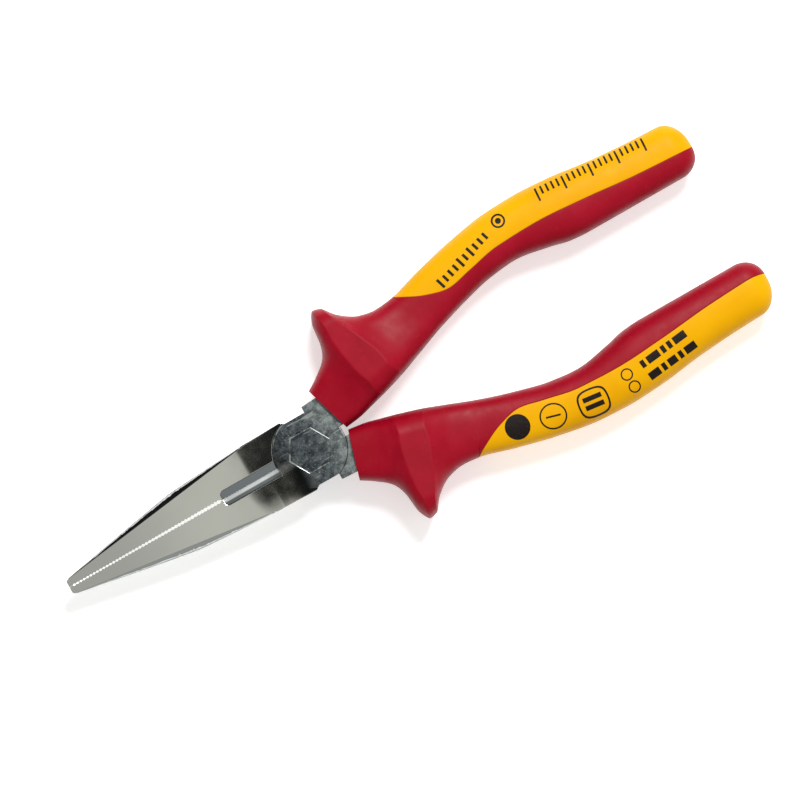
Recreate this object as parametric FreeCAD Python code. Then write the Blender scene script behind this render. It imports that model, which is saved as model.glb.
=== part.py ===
import FreeCAD, Part
import math
import os
from collections import namedtuple

# Insulated long-nose pliers with a side cutter, stored closed.
# +X runs from the pivot to the jaw tips, +Z to the joint face with the rivet head.
# The origin is on the pivot axis, in the back face of the joint.
# The two steel halves are one and the same forging: half B is half A turned half a turn
# about the X axis through the middle of the joint. Half A has its jaw on +Y and its handle
# on -Y. Sizes are in millimetres and angles in degrees.

# ---- joint ----
joint_thickness = 10.0
plate_radius = 10.0            # round hinge plate of each half
plate_half_width = 9.3         # flats on the plate's two sides
recess_clearance = 0.1         # round the plate, in the recess of the other half
plate_play = 0.04              # between the two plates
plate_edge_width = 0.3         # shallow bevel round each plate's rim
plate_edge_depth = 0.09
opening_angle = 35.0           # how far the pliers open
stop_clearance = 2.0           # angle left before the shoulders would meet
jaw_shoulder_x = 3.7           # outer corner of the jaw's base
shoulder_slope = 1.2           # run of the slanted jaw shoulder, up from the plate's flat
jaw_root_half_width = 10.2
tang_shoulder_half_width = 10.95
tang_shoulder_flare = 0.3      # the tang widens this much from its shoulder to the collar

# ---- rivet ----
rivet_radius = 3.5
rivet_running_clearance = 0.05
hex_across_flats = 10.5
hex_depth = 2.6
hex_edge_width = 0.2           # shallow bevel round the head and round its pocket
hex_edge_depth = 0.06
tail_radius = 4.9
tail_depth = 1.7

# ---- jaws ----
jaw_reach = 73.3               # pivot to tip
jaw_bend_x = 38.0              # where the jaws start to taper quickly
jaw_bend_half_width = 8.45
jaw_tip_half_width = 2.15
jaw_tip_half_thickness = 1.45
jaw_tip_radius = 0.9
jaw_side_curve = 1.5           # how late the outside turns in before the bend: 1 is straight
jaw_nose_curve = 1.06          # the same from the bend to the tip
thickness_taper_x = 13.0       # the jaws are as thick as the joint up to here
thickness_curve = 1.35         # how gently they start to get thinner: 1 is a sharp change
jaw_edge_width = 0.15          # the flank at the root and at the tip
flat_narrows_x = 14.0          # from here the flat on top narrows in a straight line to the tip
flank_angle = 38.0             # the flank's fall beside the flat, before it turns down
flank_straight = 0.6           # share of the flank's width that the fall leads
flank_turn = 0.4               # and of its height, over the same width, that the side leads
flank_height_share = 1.1       # the flank's height over its width
jaw_face_gap = 0.02            # each closed jaw face to the middle plane

# ---- cutter ----
cutter_start_x = 9.6
cutter_end_x = 26.6
cutter_half_width = 2.2
cutter_corner_radius = 1.3
cutter_bevel_angle = 35.0
cutter_land = 0.12             # half thickness of the web at the cutting edge

# ---- gripping faces ----
grip_start_x = 27.3
grip_close_x = 66.5            # the closed faces meet from here to the tip
grip_start_gap = 0.3
tooth_pitch = 1.0
tooth_depth = 0.3
tip_land = 1.0                 # plain stretch at the tip

# ---- tang inside the handle ----
tang_inner_spread = 1.5        # nearest the tang comes to the middle, at the collar
collar_bite = 1.2              # full-thickness steel inside the collar
tang_front_half_width = 4.7
tang_front_half_thickness = 4.6
tang_half_width = 3.6
tang_half_thickness = 3.4
tang_end_half_width = 3.0
tang_end_half_thickness = 2.6
tang_end_x = 108.0

# ---- handle ----
# Distances behind the pivot are along -X; spreads are from the middle plane.
collar_x = 11.4                # inner edge of the collar's front face
collar_lean = 4.0              # the collar's outer edge is this much nearer the tips
collar_spread = 0.35
collar_outer_spread = 13.6
collar_half_thickness = 6.3
crest_front_x = 23.3           # inner end of the guard crest's front edge
crest_back_x = 31.0            # inner end of its back edge
guard_tip_x = 18.6             # outer end of the front edge
guard_tip_width = 2.3
guard_spread = 31.6
crest_half_thickness = 10.4    # to the flat along the crest
crest_crown = 0.6              # height that the flat takes off the round crest
neck_x = 46.0                  # narrowest and thinnest part, behind the guard
neck_half_thickness = 6.6
belly_x = 72.0                 # the facing sides are furthest apart here
palm_x = 80.0                  # the outer sides are furthest apart here
palm_half_thickness = 7.5
handle_end_x = 127.5
tail_spread = 13.35            # facing side, from the palm to the end
tail_outer_spread = 28.55
tail_half_thickness = 6.7
end_cap_length = 6.0
end_inner_round = 5.5
end_outer_round = 7.5
end_thickness_round = 4.5
end_round_angle = 75.0         # the rounding stops here, at a small flat end face

# ---- how square the rounded sections are: 0.55 is an ellipse, 1 nearly a box ----
guard_fullness = 0.88
grip_fullness = 0.72
sleeve_fullness = 0.8
tang_fullness = 0.93

# ---- two-colour insulation ----
grip_wall = 1.8                # red layer over the yellow sleeve
sleeve_width = 14.0
sleeve_start_x = 16.0
sleeve_end_gap = 2.5           # red over the yellow sleeve's end
window_front_x = 38.3          # front point of the yellow back, on the handle's outside
window_low_x = 53.0            # where the yellow back reaches furthest in
window_low_spread = 18.35

# ---- spacing of the sections that the curved solids pass through ----
short_step = 2.0
middle_step = 3.6
long_step = 5.0
cap_sections = 5

half = joint_thickness / 2
reach_through = 4 * joint_thickness
jaw_root_x = jaw_shoulder_x - shoulder_slope

Section = namedtuple("Section", "inner outer half_thickness fullness")


def vec(x, y, z=0.0):
    return FreeCAD.Vector(x, y, z)


def between(low, high, share):
    return low + (high - low) * share


def prism(points, z_low, z_high):
    """Upright solid over a plan outline of (x, y) corners."""
    corners = [vec(x, y, z_low) for x, y in points]
    face = Part.Face(Part.makePolygon(corners + corners[:1]))
    return face.extrude(vec(0, 0, z_high - z_low))


def cylinder(radius, z_low, z_high):
    return Part.makeCylinder(radius, z_high - z_low, vec(0, 0, z_low))


def box(x_low, x_high, y_low, y_high, z_low, z_high):
    return prism([(x_low, y_low), (x_high, y_low), (x_high, y_high), (x_low, y_high)], z_low, z_high)


def bezier(*poles):
    curve = Part.BezierCurve()
    curve.setPoles(list(poles))
    return curve.toShape()


def line(start, end):
    return Part.makeLine(start, end)


def turned(shape):
    """A copy given half a turn about the middle of the joint, which takes half A to half B."""
    other = shape.copy()
    other.rotate(vec(0, 0, 0), vec(1, 0, 0), 180)
    return other


# ---- handle sections ----
# A section stands upright on the plan line from the handle's facing (inner) side to its
# outer side. A station is how far behind the pivot the section's inner end is.


class Profile:
    """Smooth curve through (station, value) knots that never swings past a knot."""

    def __init__(self, *knots):
        self.x = [x for x, _ in knots]
        self.y = [y for _, y in knots]
        rise = [(y1 - y0) / (x1 - x0) for (x0, y0), (x1, y1) in zip(knots, knots[1:])]
        self.slope = [rise[0]]
        for before, after in zip(rise, rise[1:]):
            level = before * after <= 0
            self.slope.append(0.0 if level else 2 * before * after / (before + after))
        self.slope.append(rise[-1])

    def __call__(self, x):
        last = len(self.x) - 2
        i = max([0] + [j for j in range(last + 1) if self.x[j] <= x])
        span = self.x[i + 1] - self.x[i]
        t = (x - self.x[i]) / span
        start = self.y[i] * (1 + 2 * t) * (1 - t) ** 2 + self.slope[i] * span * t * (1 - t) ** 2
        end = self.y[i + 1] * t * t * (3 - 2 * t) - self.slope[i + 1] * span * t * t * (1 - t)
        return start + end


def along(start, end, *shares_and_values):
    """Knots between two landmarks, from (share of the way, value) pairs."""
    return [(between(start, end, share), value) for share, value in shares_and_values]


cap_start_x = handle_end_x - end_cap_length

inner_spread = Profile(
    *along(collar_x, crest_back_x, (0.0, collar_spread), (0.23, 0.95), (0.43, 1.95)),
    *along(collar_x, crest_back_x, (0.69, 3.3), (1.0, 5.15)),
    *along(crest_back_x, neck_x, (0.4, 7.4), (1.0, 10.8)),
    *along(neck_x, belly_x, (0.35, 13.6), (0.7, 15.8), (1.0, 16.55)),
    *along(belly_x, cap_start_x, (0.2, 15.0), (0.31, 13.75), (0.42, tail_spread), (1.0, tail_spread)),
)
outer_x = Profile(
    *along(collar_x, crest_front_x, (0.0, collar_x - collar_lean), (0.25, 10.9), (0.55, 14.9)),
    *along(collar_x, crest_front_x, (0.72, 16.2), (0.85, guard_tip_x - 1.8), (1.0, guard_tip_x)),
    (crest_back_x, guard_tip_x + guard_tip_width),
    *along(crest_back_x, neck_x, (0.2, 23.8), (0.5, 28.8), (1.0, neck_x - 8.3)),
    *along(neck_x, belly_x, (0.5, between(neck_x, belly_x, 0.5) - 3.8), (1.0, belly_x - 0.8)),
    (palm_x, palm_x),
    (between(palm_x, cap_start_x, 0.3), between(palm_x, cap_start_x, 0.3) + 1.2),
    (between(palm_x, cap_start_x, 0.8), between(palm_x, cap_start_x, 0.8)),
    (cap_start_x, cap_start_x),
)
outer_spread = Profile(
    *along(collar_x, crest_front_x, (0.0, collar_outer_spread), (0.25, 15.9), (0.55, 19.5)),
    *along(collar_x, crest_front_x, (0.72, 23.0), (0.85, 28.2), (1.0, guard_spread)),
    (crest_back_x, guard_spread - 0.5),
    *along(crest_back_x, neck_x, (0.2, 27.6), (0.5, 24.4), (0.75, 23.6), (1.0, 24.0)),
    *along(neck_x, belly_x, (0.3, 26.9), (0.6, 29.4), (1.0, 31.45)),
    (palm_x, 31.8),
    *along(palm_x, cap_start_x, (0.2, 31.3), (0.5, 29.8), (0.8, 28.9), (1.0, tail_outer_spread)),
)
round_crest = crest_half_thickness + crest_crown
front_half_thickness = Profile((collar_x, collar_half_thickness), (crest_front_x, round_crest))
back_half_thickness = Profile(
    (crest_back_x, round_crest),
    *along(crest_back_x, neck_x, (0.2, 9.4), (0.5, 7.7), (1.0, neck_half_thickness)),
    (belly_x, between(neck_half_thickness, palm_half_thickness, 0.7)),
    (between(palm_x, cap_start_x, 0.2), palm_half_thickness),
    (cap_start_x, tail_half_thickness),
)
fullness = Profile(
    (collar_x, guard_fullness),
    (crest_back_x, guard_fullness),
    (belly_x, grip_fullness),
    (cap_start_x, grip_fullness),
)


def half_thickness(station):
    """The guard's crest is creased, so the slopes before and behind it are two curves."""
    if station <= crest_front_x:
        return front_half_thickness(station)
    return back_half_thickness(max(station, crest_back_x))


def handle_section(station):
    inner = (station, inner_spread(station))
    outer = (outer_x(station), outer_spread(station))
    return Section(inner, outer, half_thickness(station), fullness(station))


def cap_section(angle):
    """Section of the rounded end, where 0 degrees is the start of the rounding."""
    reach = math.sin(math.radians(angle)) / math.sin(math.radians(end_round_angle))
    draw_in = 1 - math.cos(math.radians(angle))
    x = cap_start_x + end_cap_length * reach
    inner = (x, tail_spread + end_inner_round * draw_in)
    outer = (x, tail_outer_spread - end_outer_round * draw_in)
    return Section(inner, outer, tail_half_thickness - end_thickness_round * draw_in, grip_fullness)


def stations(start, end, step):
    count = max(3, round((end - start) / step))
    return [between(start, end, i / count) for i in range(count + 1)]


def section_wire(section):
    """Closed rounded outline of four cubic arcs."""
    inner = vec(-section.inner[0], -section.inner[1])
    outer = vec(-section.outer[0], -section.outer[1])
    middle = (inner + outer) / 2
    side = (outer - inner) / 2
    up = vec(0, 0, section.half_thickness)
    k = section.fullness
    quarters = ((side, up), (up, -side), (-side, -up), (-up, side))
    arcs = [bezier(middle + a, middle + a + b * k, middle + b + a * k, middle + b) for a, b in quarters]
    return Part.Wire(arcs)


def loft(sections, ruled=False):
    return Part.makeLoft([section_wire(s) for s in sections], True, ruled)


def handle_body():
    """Whole outer shape of one handle, with a flat along the guard's crest."""
    front = loft([handle_section(s) for s in stations(collar_x, crest_front_x, short_step)])
    crest = loft([handle_section(s) for s in (crest_front_x, crest_back_x)], ruled=True)
    back = loft([handle_section(s) for s in stations(crest_back_x, cap_start_x, middle_step)])
    cap_step = end_round_angle / cap_sections
    cap = loft([cap_section(angle) for angle in stations(0, end_round_angle, cap_step)])
    slab = box(-2 * handle_end_x, 0, -2 * guard_spread, 0, -crest_half_thickness, crest_half_thickness)
    return front.fuse([crest, back, cap]).common(slab).removeSplitter()


def inset(section, wall, width, half_thickness):
    """Section that starts a wall inside the facing side and is that wide."""
    inner = vec(*section.inner)
    outer = vec(*section.outer)
    across = (outer - inner).normalize()
    near = inner + across * wall
    far = near + across * min(width, (outer - inner).Length - 2 * wall)
    return Section((near.x, near.y), (far.x, far.y), half_thickness, sleeve_fullness)


def sleeve_section(station):
    row = handle_section(station)
    thickness = min(row.half_thickness, palm_half_thickness) - grip_wall
    return inset(row, grip_wall, sleeve_width, thickness)


def sleeve_core():
    """Inner insulation that wraps the tang all the way along, under the red grip."""
    sleeve_end_x = handle_end_x - sleeve_end_gap
    return loft([sleeve_section(s) for s in stations(sleeve_start_x, sleeve_end_x, long_step)])


tang_half_widths = Profile(
    (collar_x, tang_front_half_width),
    (crest_back_x, tang_half_width),
    (tang_end_x, tang_end_half_width),
)
tang_half_thicknesses = Profile(
    (collar_x, tang_front_half_thickness),
    (crest_back_x, tang_half_thickness),
    (tang_end_x, tang_end_half_thickness),
)


def tang_section(station):
    """Section along the middle of the sleeve."""
    sleeve = inset(handle_section(station), grip_wall, sleeve_width, tang_half_thicknesses(station))
    inner = vec(*sleeve.inner)
    outer = vec(*sleeve.outer)
    middle = (inner + outer) / 2
    reach = (outer - inner).normalize() * tang_half_widths(station)
    near = middle - reach
    far = middle + reach
    return Section((near.x, near.y), (far.x, far.y), sleeve.half_thickness, tang_fullness)


def tang_shank():
    """The part of the tang that the insulation holds."""
    return loft([tang_section(s) for s in stations(collar_x + collar_bite / 2, tang_end_x, long_step)])


# ---- forging ----


def at_angle(radius, angle):
    return radius * math.cos(math.radians(angle)), radius * math.sin(math.radians(angle))


def jaw_half_width(x):
    if x <= jaw_shoulder_x:
        return jaw_root_half_width
    if x <= jaw_bend_x:
        share = (x - jaw_shoulder_x) / (jaw_bend_x - jaw_shoulder_x)
        return between(jaw_root_half_width, jaw_bend_half_width, share**jaw_side_curve)
    share = (x - jaw_bend_x) / (jaw_reach - jaw_bend_x)
    return between(jaw_bend_half_width, jaw_tip_half_width, share**jaw_nose_curve)


def jaw_half_thickness(x):
    share = max(0.0, (x - thickness_taper_x) / (jaw_reach - thickness_taper_x))
    return between(half, jaw_tip_half_thickness, share**thickness_curve)


def jaw_flat_half_width(x):
    """The flat on top runs in a straight line from the root's edge to the tip's."""
    share = max(0.0, (x - flat_narrows_x) / (jaw_reach - flat_narrows_x))
    root = jaw_half_width(min(x, flat_narrows_x))
    return between(root, jaw_tip_half_width, share) - jaw_edge_width


def jaw_section(x):
    """Upright section of the jaw at x: flat inside and on top, with a sloping flank outside."""
    width = jaw_half_width(x)
    top = jaw_half_thickness(x)
    flat = jaw_flat_half_width(x)
    flank = width - flat
    side = top - flank * flank_height_share
    run = flank * flank_straight
    drop = run * math.tan(math.radians(flank_angle))
    turn = vec(0, 0, flank * flank_turn)
    p = [vec(x, jaw_face_gap, top), vec(x, flat, top), vec(x, width, side)]
    q = [vec(x, width, -side), vec(x, flat, -top), vec(x, jaw_face_gap, -top)]
    edges = [
        line(p[0], p[1]),
        bezier(p[1], p[1] + vec(0, run, -drop), p[2] + turn, p[2]),
        line(p[2], q[0]),
        bezier(q[0], q[0] - turn, q[1] + vec(0, run, drop), q[1]),
        line(q[1], q[2]),
        line(q[2], p[0]),
    ]
    return Part.Wire(edges)


def jaw_blank():
    flat_part = Part.makeLoft([jaw_section(x) for x in (jaw_root_x, thickness_taper_x)], True, True)
    tapered = stations(thickness_taper_x, jaw_reach, long_step)
    nose = Part.makeLoft([jaw_section(x) for x in tapered], True, False)
    blank = flat_part.fuse(nose)
    corner = jaw_tip_half_width
    radius = jaw_tip_radius
    tip_corner = box(jaw_reach - radius, jaw_reach + radius, corner - radius, corner + radius, -half, half)
    rounding = cylinder(radius, -half, half)
    rounding.translate(vec(jaw_reach - radius, corner - radius, 0))
    shoulder = [
        (jaw_root_x, plate_half_width),
        (jaw_shoulder_x, jaw_root_half_width),
        (jaw_root_x, jaw_root_half_width),
    ]
    return blank.cut([tip_corner.cut(rounding), prism(shoulder, -half, half)])


def tang_shoulder_x():
    """The other half's jaw shoulder swings up to here as the pliers open to their stop."""
    radius = math.hypot(jaw_root_x, plate_half_width)
    closed = math.degrees(math.atan2(plate_half_width, jaw_root_x))
    return at_angle(radius, closed + opening_angle + stop_clearance)[0]


def tang_root():
    """Full-thickness steel from the shoulder to just inside the collar."""
    wide = tang_shoulder_half_width
    shoulder_x = tang_shoulder_x()
    collar_front = collar_x - collar_lean
    lean = collar_lean / (collar_outer_spread - collar_spread)
    inner_x = -(collar_x + collar_bite - lean * (tang_inner_spread - collar_spread))
    outer_x = -(collar_front + collar_bite + lean * (collar_outer_spread - wide))
    outline = [
        (shoulder_x, -tang_inner_spread),
        (shoulder_x, -wide),
        (outer_x, -wide - tang_shoulder_flare),
        (inner_x, -tang_inner_spread),
    ]
    return prism(outline, -half, half)


def cutter_channel():
    """Slot over the cutting edges, cut from the joint's front face down to the bevels."""
    slope = math.tan(math.radians(cutter_bevel_angle))
    wall_foot = cutter_land + cutter_half_width * slope
    profile = [
        vec(cutter_start_x, -cutter_half_width, reach_through),
        vec(cutter_start_x, -cutter_half_width, wall_foot),
        vec(cutter_start_x, 0, cutter_land),
        vec(cutter_start_x, cutter_half_width, wall_foot),
        vec(cutter_start_x, cutter_half_width, reach_through),
    ]
    face = Part.Face(Part.makePolygon(profile + profile[:1]))
    slot = face.extrude(vec(cutter_end_x - cutter_start_x, 0, 0))
    round_x = cutter_end_x - cutter_corner_radius
    round_y = cutter_half_width - cutter_corner_radius
    square = box(cutter_start_x, round_x, -cutter_half_width, cutter_half_width, 0, reach_through)
    nose = box(round_x, cutter_end_x, -round_y, round_y, 0, reach_through)
    corners = [cylinder(cutter_corner_radius, 0, reach_through) for _ in range(2)]
    for corner, side in zip(corners, (-1, 1)):
        corner.translate(vec(round_x, side * round_y, 0))
    return slot.common(square.fuse([nose] + corners))


def gripping_cuts():
    """Clearance wedge between the closed gripping faces, and the teeth across them."""
    end_x = jaw_reach - tip_land
    wedge = prism(
        [
            (grip_start_x, -1.0),
            (grip_start_x, grip_start_gap),
            (grip_close_x, jaw_face_gap),
            (grip_close_x, -1.0),
        ],
        -half,
        half,
    )
    cuts = [wedge]
    count = int((end_x - grip_start_x) / tooth_pitch)
    for i in range(count):
        x = grip_start_x + (i + 0.5) * tooth_pitch
        share = min(1.0, (x - grip_start_x) / (grip_close_x - grip_start_x))
        face_y = between(grip_start_gap, jaw_face_gap, share)
        root = face_y + tooth_depth
        open_y = face_y - tooth_depth
        cuts.append(prism([(x - tooth_pitch, open_y), (x + tooth_pitch, open_y), (x, root)], -half, half))
    return cuts


def hexagon(across_flats, z_low, z_high):
    """Hexagonal solid with corners on the X axis."""
    corner = across_flats / 2 / math.cos(math.radians(30))
    return prism([at_angle(corner, 60 * i) for i in range(6)], z_low, z_high)


def hexagon_bevel(across_flats, sign):
    """Frustum that opens a hexagonal pocket's mouth (+1) or trims a hexagonal head (-1)."""
    wires = []
    for growth, z in ((0.0, half - hex_edge_depth), (sign * 2 * hex_edge_width, half)):
        corner = (across_flats + growth) / 2 / math.cos(math.radians(30))
        corners = [vec(*at_angle(corner, 60 * i), z) for i in range(6)]
        wires.append(Part.makePolygon(corners + corners[:1]))
    return Part.makeLoft(wires, True, True)


def forging():
    """Steel half before its rivet hole: jaw on +Y, hinge plate in front, tang on -Y."""
    steel = jaw_blank().fuse([tang_root(), tang_shank()])
    other_plate = cylinder(plate_radius + recess_clearance, -reach_through, plate_play / 2)
    steel = steel.cut(other_plate)
    plate = cylinder(plate_radius, plate_play / 2, half - plate_edge_depth)
    rim_radius = plate_radius - plate_edge_width
    rim_low = vec(0, 0, half - plate_edge_depth)
    plate = plate.fuse(Part.makeCone(plate_radius, rim_radius, plate_edge_depth, rim_low))
    flats = box(-reach_through, reach_through, -plate_half_width, plate_half_width, -half, half)
    steel = steel.fuse(plate.common(flats))
    cuts = [cutter_channel(), turned(cutter_channel())] + gripping_cuts()
    return steel.cut(cuts).removeSplitter()


def rivet_seat():
    """What the rivet's head and shank fill in half A."""
    pocket = hexagon(hex_across_flats, half - hex_depth, reach_through)
    shank = cylinder(rivet_radius, -reach_through, reach_through)
    return [pocket, hexagon_bevel(hex_across_flats, 1), shank]


def rivet():
    """Pivot rivet: hexagonal head keyed in half A, round shank, countersunk tail in half B."""
    head = hexagon(hex_across_flats, half - hex_depth, half - hex_edge_depth)
    head = head.fuse(hexagon_bevel(hex_across_flats, -1))
    shank = cylinder(rivet_radius, -half, half - hex_depth)
    tail = Part.makeCone(tail_radius, rivet_radius, tail_depth, vec(0, 0, -half))
    return head.fuse([shank, tail]).removeSplitter()


def rivet_room():
    """The rivet with its running clearance, where it passes through half B."""
    gap = rivet_running_clearance
    bore = cylinder(rivet_radius + gap, -reach_through, reach_through)
    sink = Part.makeCone(tail_radius + gap, rivet_radius + gap, tail_depth, vec(0, 0, -half))
    return [bore, sink]


# ---- insulation ----


def window_zone():
    """Everything outside the line along which the yellow back comes through the red grip."""
    end = handle_end_x + 5.0
    tail = end - window_low_x
    points = [
        (end, window_low_spread + 0.2),
        (window_low_x + 0.72 * tail, window_low_spread + 1.4),
        (window_low_x + 0.53 * tail, window_low_spread + 2.85),
        (window_low_x + 0.36 * tail, window_low_spread + 3.7),
        (window_low_x + 0.21 * tail, window_low_spread + 3.25),
        (window_low_x + 0.09 * tail, window_low_spread + 1.4),
        (window_low_x, window_low_spread),
        (between(window_low_x, window_front_x, 0.41), window_low_spread + 1.4),
        (between(window_low_x, window_front_x, 0.88), window_low_spread + 4.75),
        (window_front_x - 1.5, window_low_spread + 6.8),
    ]
    curve = Part.BSplineCurve()
    curve.interpolate([vec(-x, -y) for x, y in points])
    far = 2 * guard_spread
    first = vec(-points[0][0], -points[0][1])
    last = vec(-points[-1][0], -points[-1][1])
    edges = [
        curve.toShape(),
        line(last, vec(last.x, -far)),
        line(vec(last.x, -far), vec(first.x, -far)),
        line(vec(first.x, -far), first),
    ]
    face = Part.Face(Part.Wire(edges))
    face.translate(vec(0, 0, -reach_through))
    return face.extrude(vec(0, 0, 2 * reach_through))


def insulation(steel):
    """Yellow sleeve and red grip of half A."""
    body = handle_body()
    zone = window_zone()
    core = sleeve_core()
    back = body.common(zone)
    sleeve = core.fuse(back).cut(steel).removeSplitter()
    grip = body.cut([zone, core, steel]).removeSplitter()
    return sleeve, grip


def save(name, shape):
    shape = shape.copy()
    shape.translate(vec(0, 0, half))
    solids = shape.Solids
    assert shape.isValid() and solids, name
    result = solids[0] if len(solids) == 1 else Part.makeCompound(solids)
    print(name, len(solids), "solid(s)", round(result.Volume, 1), "mm3")
    result.exportStep(os.path.join("parts", name + ".step"))


def main():
    os.makedirs("parts", exist_ok=True)
    blank = forging()
    sleeve, grip = insulation(blank)
    save("half_a_forging", blank.cut(rivet_seat()))
    save("half_b_forging", turned(blank).cut(rivet_room()))
    save("pivot_rivet", rivet())
    save("sleeve_a", sleeve)
    save("sleeve_b", turned(sleeve))
    save("grip_a", grip)
    save("grip_b", turned(grip))


main()
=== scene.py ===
import math

import bmesh
import bpy
import numpy as np
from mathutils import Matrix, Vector
from mathutils.bvhtree import BVHTree


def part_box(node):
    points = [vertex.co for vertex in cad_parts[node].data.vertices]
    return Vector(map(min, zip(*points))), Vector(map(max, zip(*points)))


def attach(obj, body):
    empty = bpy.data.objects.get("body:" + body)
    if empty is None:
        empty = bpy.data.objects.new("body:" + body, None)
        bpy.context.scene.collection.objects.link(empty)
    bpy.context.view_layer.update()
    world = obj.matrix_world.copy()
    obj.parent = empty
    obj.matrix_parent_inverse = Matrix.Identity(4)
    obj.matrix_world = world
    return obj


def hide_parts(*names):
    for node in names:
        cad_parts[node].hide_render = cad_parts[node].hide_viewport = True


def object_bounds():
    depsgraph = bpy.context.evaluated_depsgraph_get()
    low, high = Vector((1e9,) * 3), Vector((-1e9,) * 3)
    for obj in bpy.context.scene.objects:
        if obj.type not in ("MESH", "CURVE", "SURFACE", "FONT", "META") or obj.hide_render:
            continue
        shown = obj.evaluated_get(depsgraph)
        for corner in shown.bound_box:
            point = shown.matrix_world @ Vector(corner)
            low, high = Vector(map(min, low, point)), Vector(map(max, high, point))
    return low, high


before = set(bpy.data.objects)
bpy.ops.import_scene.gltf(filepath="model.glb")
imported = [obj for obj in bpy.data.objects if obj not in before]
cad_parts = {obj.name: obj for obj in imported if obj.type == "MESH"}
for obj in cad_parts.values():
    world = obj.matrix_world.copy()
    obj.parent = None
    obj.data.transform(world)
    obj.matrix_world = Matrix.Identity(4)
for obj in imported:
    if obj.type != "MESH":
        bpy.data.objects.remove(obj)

# Insulated long-nose pliers, closed, lying on a pale table and seen from straight above.
# The steel halves and the rivet are the CAD nodes. The two-colour handles are built here
# from the same outlines as the CAD ones, with a moulded groove where the colours meet.
# Handle sizes are in millimetres and become metres when a mesh is made. Distances behind
# the pivot are along -X, and spreads are from the middle plane.

MM = 0.001
cad_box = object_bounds()
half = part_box("pivot_rivet")[1].z / MM / 2

# ---- handle sizes, as in the CAD ----
collar_x = 11.4
collar_lean = 4.0
collar_spread = 0.35
collar_outer_spread = 13.6
collar_half_thickness = 6.3
crest_front_x = 23.3
crest_back_x = 31.0
guard_tip_x = 18.6
guard_tip_width = 2.3
guard_spread = 31.6
crest_half_thickness = 10.4
crest_crown = 0.6
neck_x = 46.0
neck_half_thickness = 6.6
belly_x = 72.0
palm_x = 80.0
palm_half_thickness = 7.5
handle_end_x = -cad_box[0].x / MM
tail_spread = 13.35
tail_outer_spread = 28.55
tail_half_thickness = 6.7
end_cap_length = 6.0
end_inner_round = 5.5
end_outer_round = 7.5
end_thickness_round = 4.5
guard_fullness = 0.88
grip_fullness = 0.72
sleeve_start_x = 16.0
sleeve_width = 14.0
grip_wall = 1.8
tang_front_half_width = 4.7
tang_front_half_thickness = 4.6
tang_half_width = 3.6
tang_half_thickness = 3.4
tang_end_half_width = 3.0
tang_end_half_thickness = 2.6
tang_end_x = 108.0
tang_fullness = 0.93
collar_fullness = 0.98

# ---- two-colour boundary ----
window_front_x = 38.3
window_low_x = 53.0
window_low_spread = 18.35
edge_shift_a = 0.45            # how far each handle's boundary really runs from that line
edge_shift_b = -0.55

# ---- details that only the visual model has ----
lip_radius = 0.22              # rounding of both colours' edges at the groove
crease_round = 0.06            # softening of the edges of the guard's flat crest
skin_gap = 0.02                # between the red skin and the yellow core under it
steel_edge_radius = 0.18 * MM  # worn roundness of the steel's edges
shoulder_blend = 0.094 * MM    # how far the polish rounds the shoulder into the taper
jaw_crown = 1.9                # crown polished across the plate's own jaw, per metre
coarse_step = 0.7              # between a handle's sections, along it
middle_step = 0.4
fine_step = 0.25
cap_rings = 14
quarter_points = 160           # a section's own outline, before it is cut into colours
red_points = 128               # across each colour's part of a section
yellow_points = 64
lips = (0.0, 0.12, 0.3, 0.6, 1.0)  # shares of the lip radius where more points lie
steel_bite = 1.2               # full-thickness steel inside the collar
collar_steel = (1.5, 11.25)    # its sides' spreads
ink_step = 0.4                 # mesh spacing of the printed marks
hoop_points = 14               # in each quarter of an outlined mark
ink_height = 0.03 * MM         # how far the ink stands proud of the sleeve
pip_height = 0.05 * MM         # how far the rings moulded on the crest stand up
crest_drop = 0.07              # room for those rings inside the size of the CAD crest
weld_distance = 0.001 * MM     # points closer than this are one
sharp_angle = 40.0             # edges that turn more than this, in degrees, look sharp
circle = 0.5523                # squareness of a round outline


def between(low, high, share):
    return low + (high - low) * share


class Profile:
    """Smooth curve through (station, value) knots that never swings past a knot."""

    def __init__(self, *knots):
        self.x = [x for x, _ in knots]
        self.y = [y for _, y in knots]
        rise = [(y1 - y0) / (x1 - x0) for (x0, y0), (x1, y1) in zip(knots, knots[1:])]
        self.slope = [rise[0]]
        for before, after in zip(rise, rise[1:]):
            level = before * after <= 0
            self.slope.append(0.0 if level else 2 * before * after / (before + after))
        self.slope.append(rise[-1])

    def __call__(self, x):
        last = len(self.x) - 2
        i = max([0] + [j for j in range(last + 1) if self.x[j] <= x])
        span = self.x[i + 1] - self.x[i]
        t = (x - self.x[i]) / span
        start = self.y[i] * (1 + 2 * t) * (1 - t) ** 2 + self.slope[i] * span * t * (1 - t) ** 2
        end = self.y[i + 1] * t * t * (3 - 2 * t) - self.slope[i + 1] * span * t * t * (1 - t)
        return start + end


def along(start, end, *shares_and_values):
    return [(between(start, end, share), value) for share, value in shares_and_values]


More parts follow.
